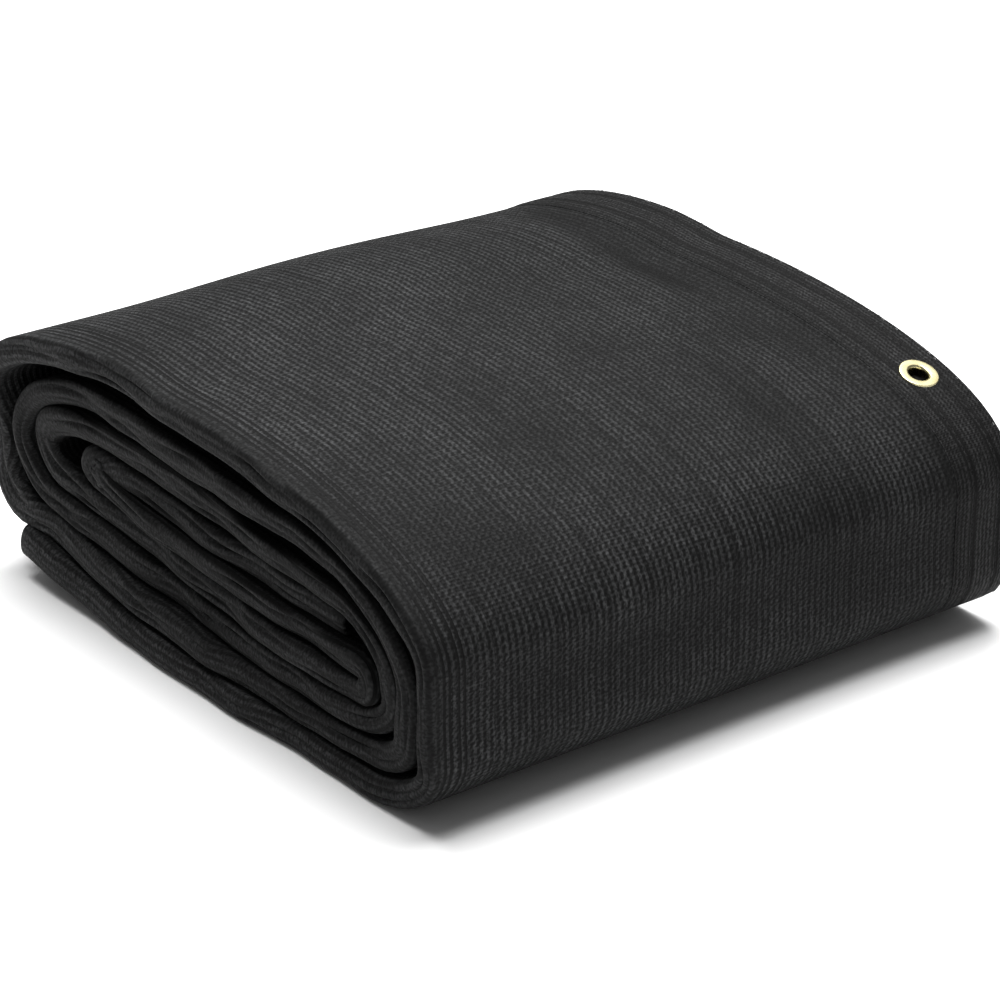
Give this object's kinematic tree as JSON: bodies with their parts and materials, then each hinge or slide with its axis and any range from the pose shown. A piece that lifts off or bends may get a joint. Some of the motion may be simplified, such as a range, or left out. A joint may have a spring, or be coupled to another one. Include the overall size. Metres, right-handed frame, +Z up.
{
  "type": "folded container cover net",
  "caption": "Black knitted container cover net, folded lengthwise and wound flat into a bundle, with a hemmed edge and a brass eyelet to tie it down by.",
  "frame": {"origin": "middle of the bundle's underside, on the surface that it lies on", "axes": "+X along the winding axis towards the hemmed edge with the eyelet, +Y towards the back, away from the smooth rounded front, +Z up"},
  "size_m": [0.392, 0.4074, 0.1632],
  "materials": {
    "knit": "matt knitted plastic yarn, open loops",
    "hem": "matt knitted plastic yarn, doubled and sewn",
    "brass": "bright pressed brass"
  },
  "bodies": {
    "root": {"net": "knit", "hem_strip": "hem", "eyelet": "brass", "eyelet_washer": "brass"}
  },
  "joints": []
}
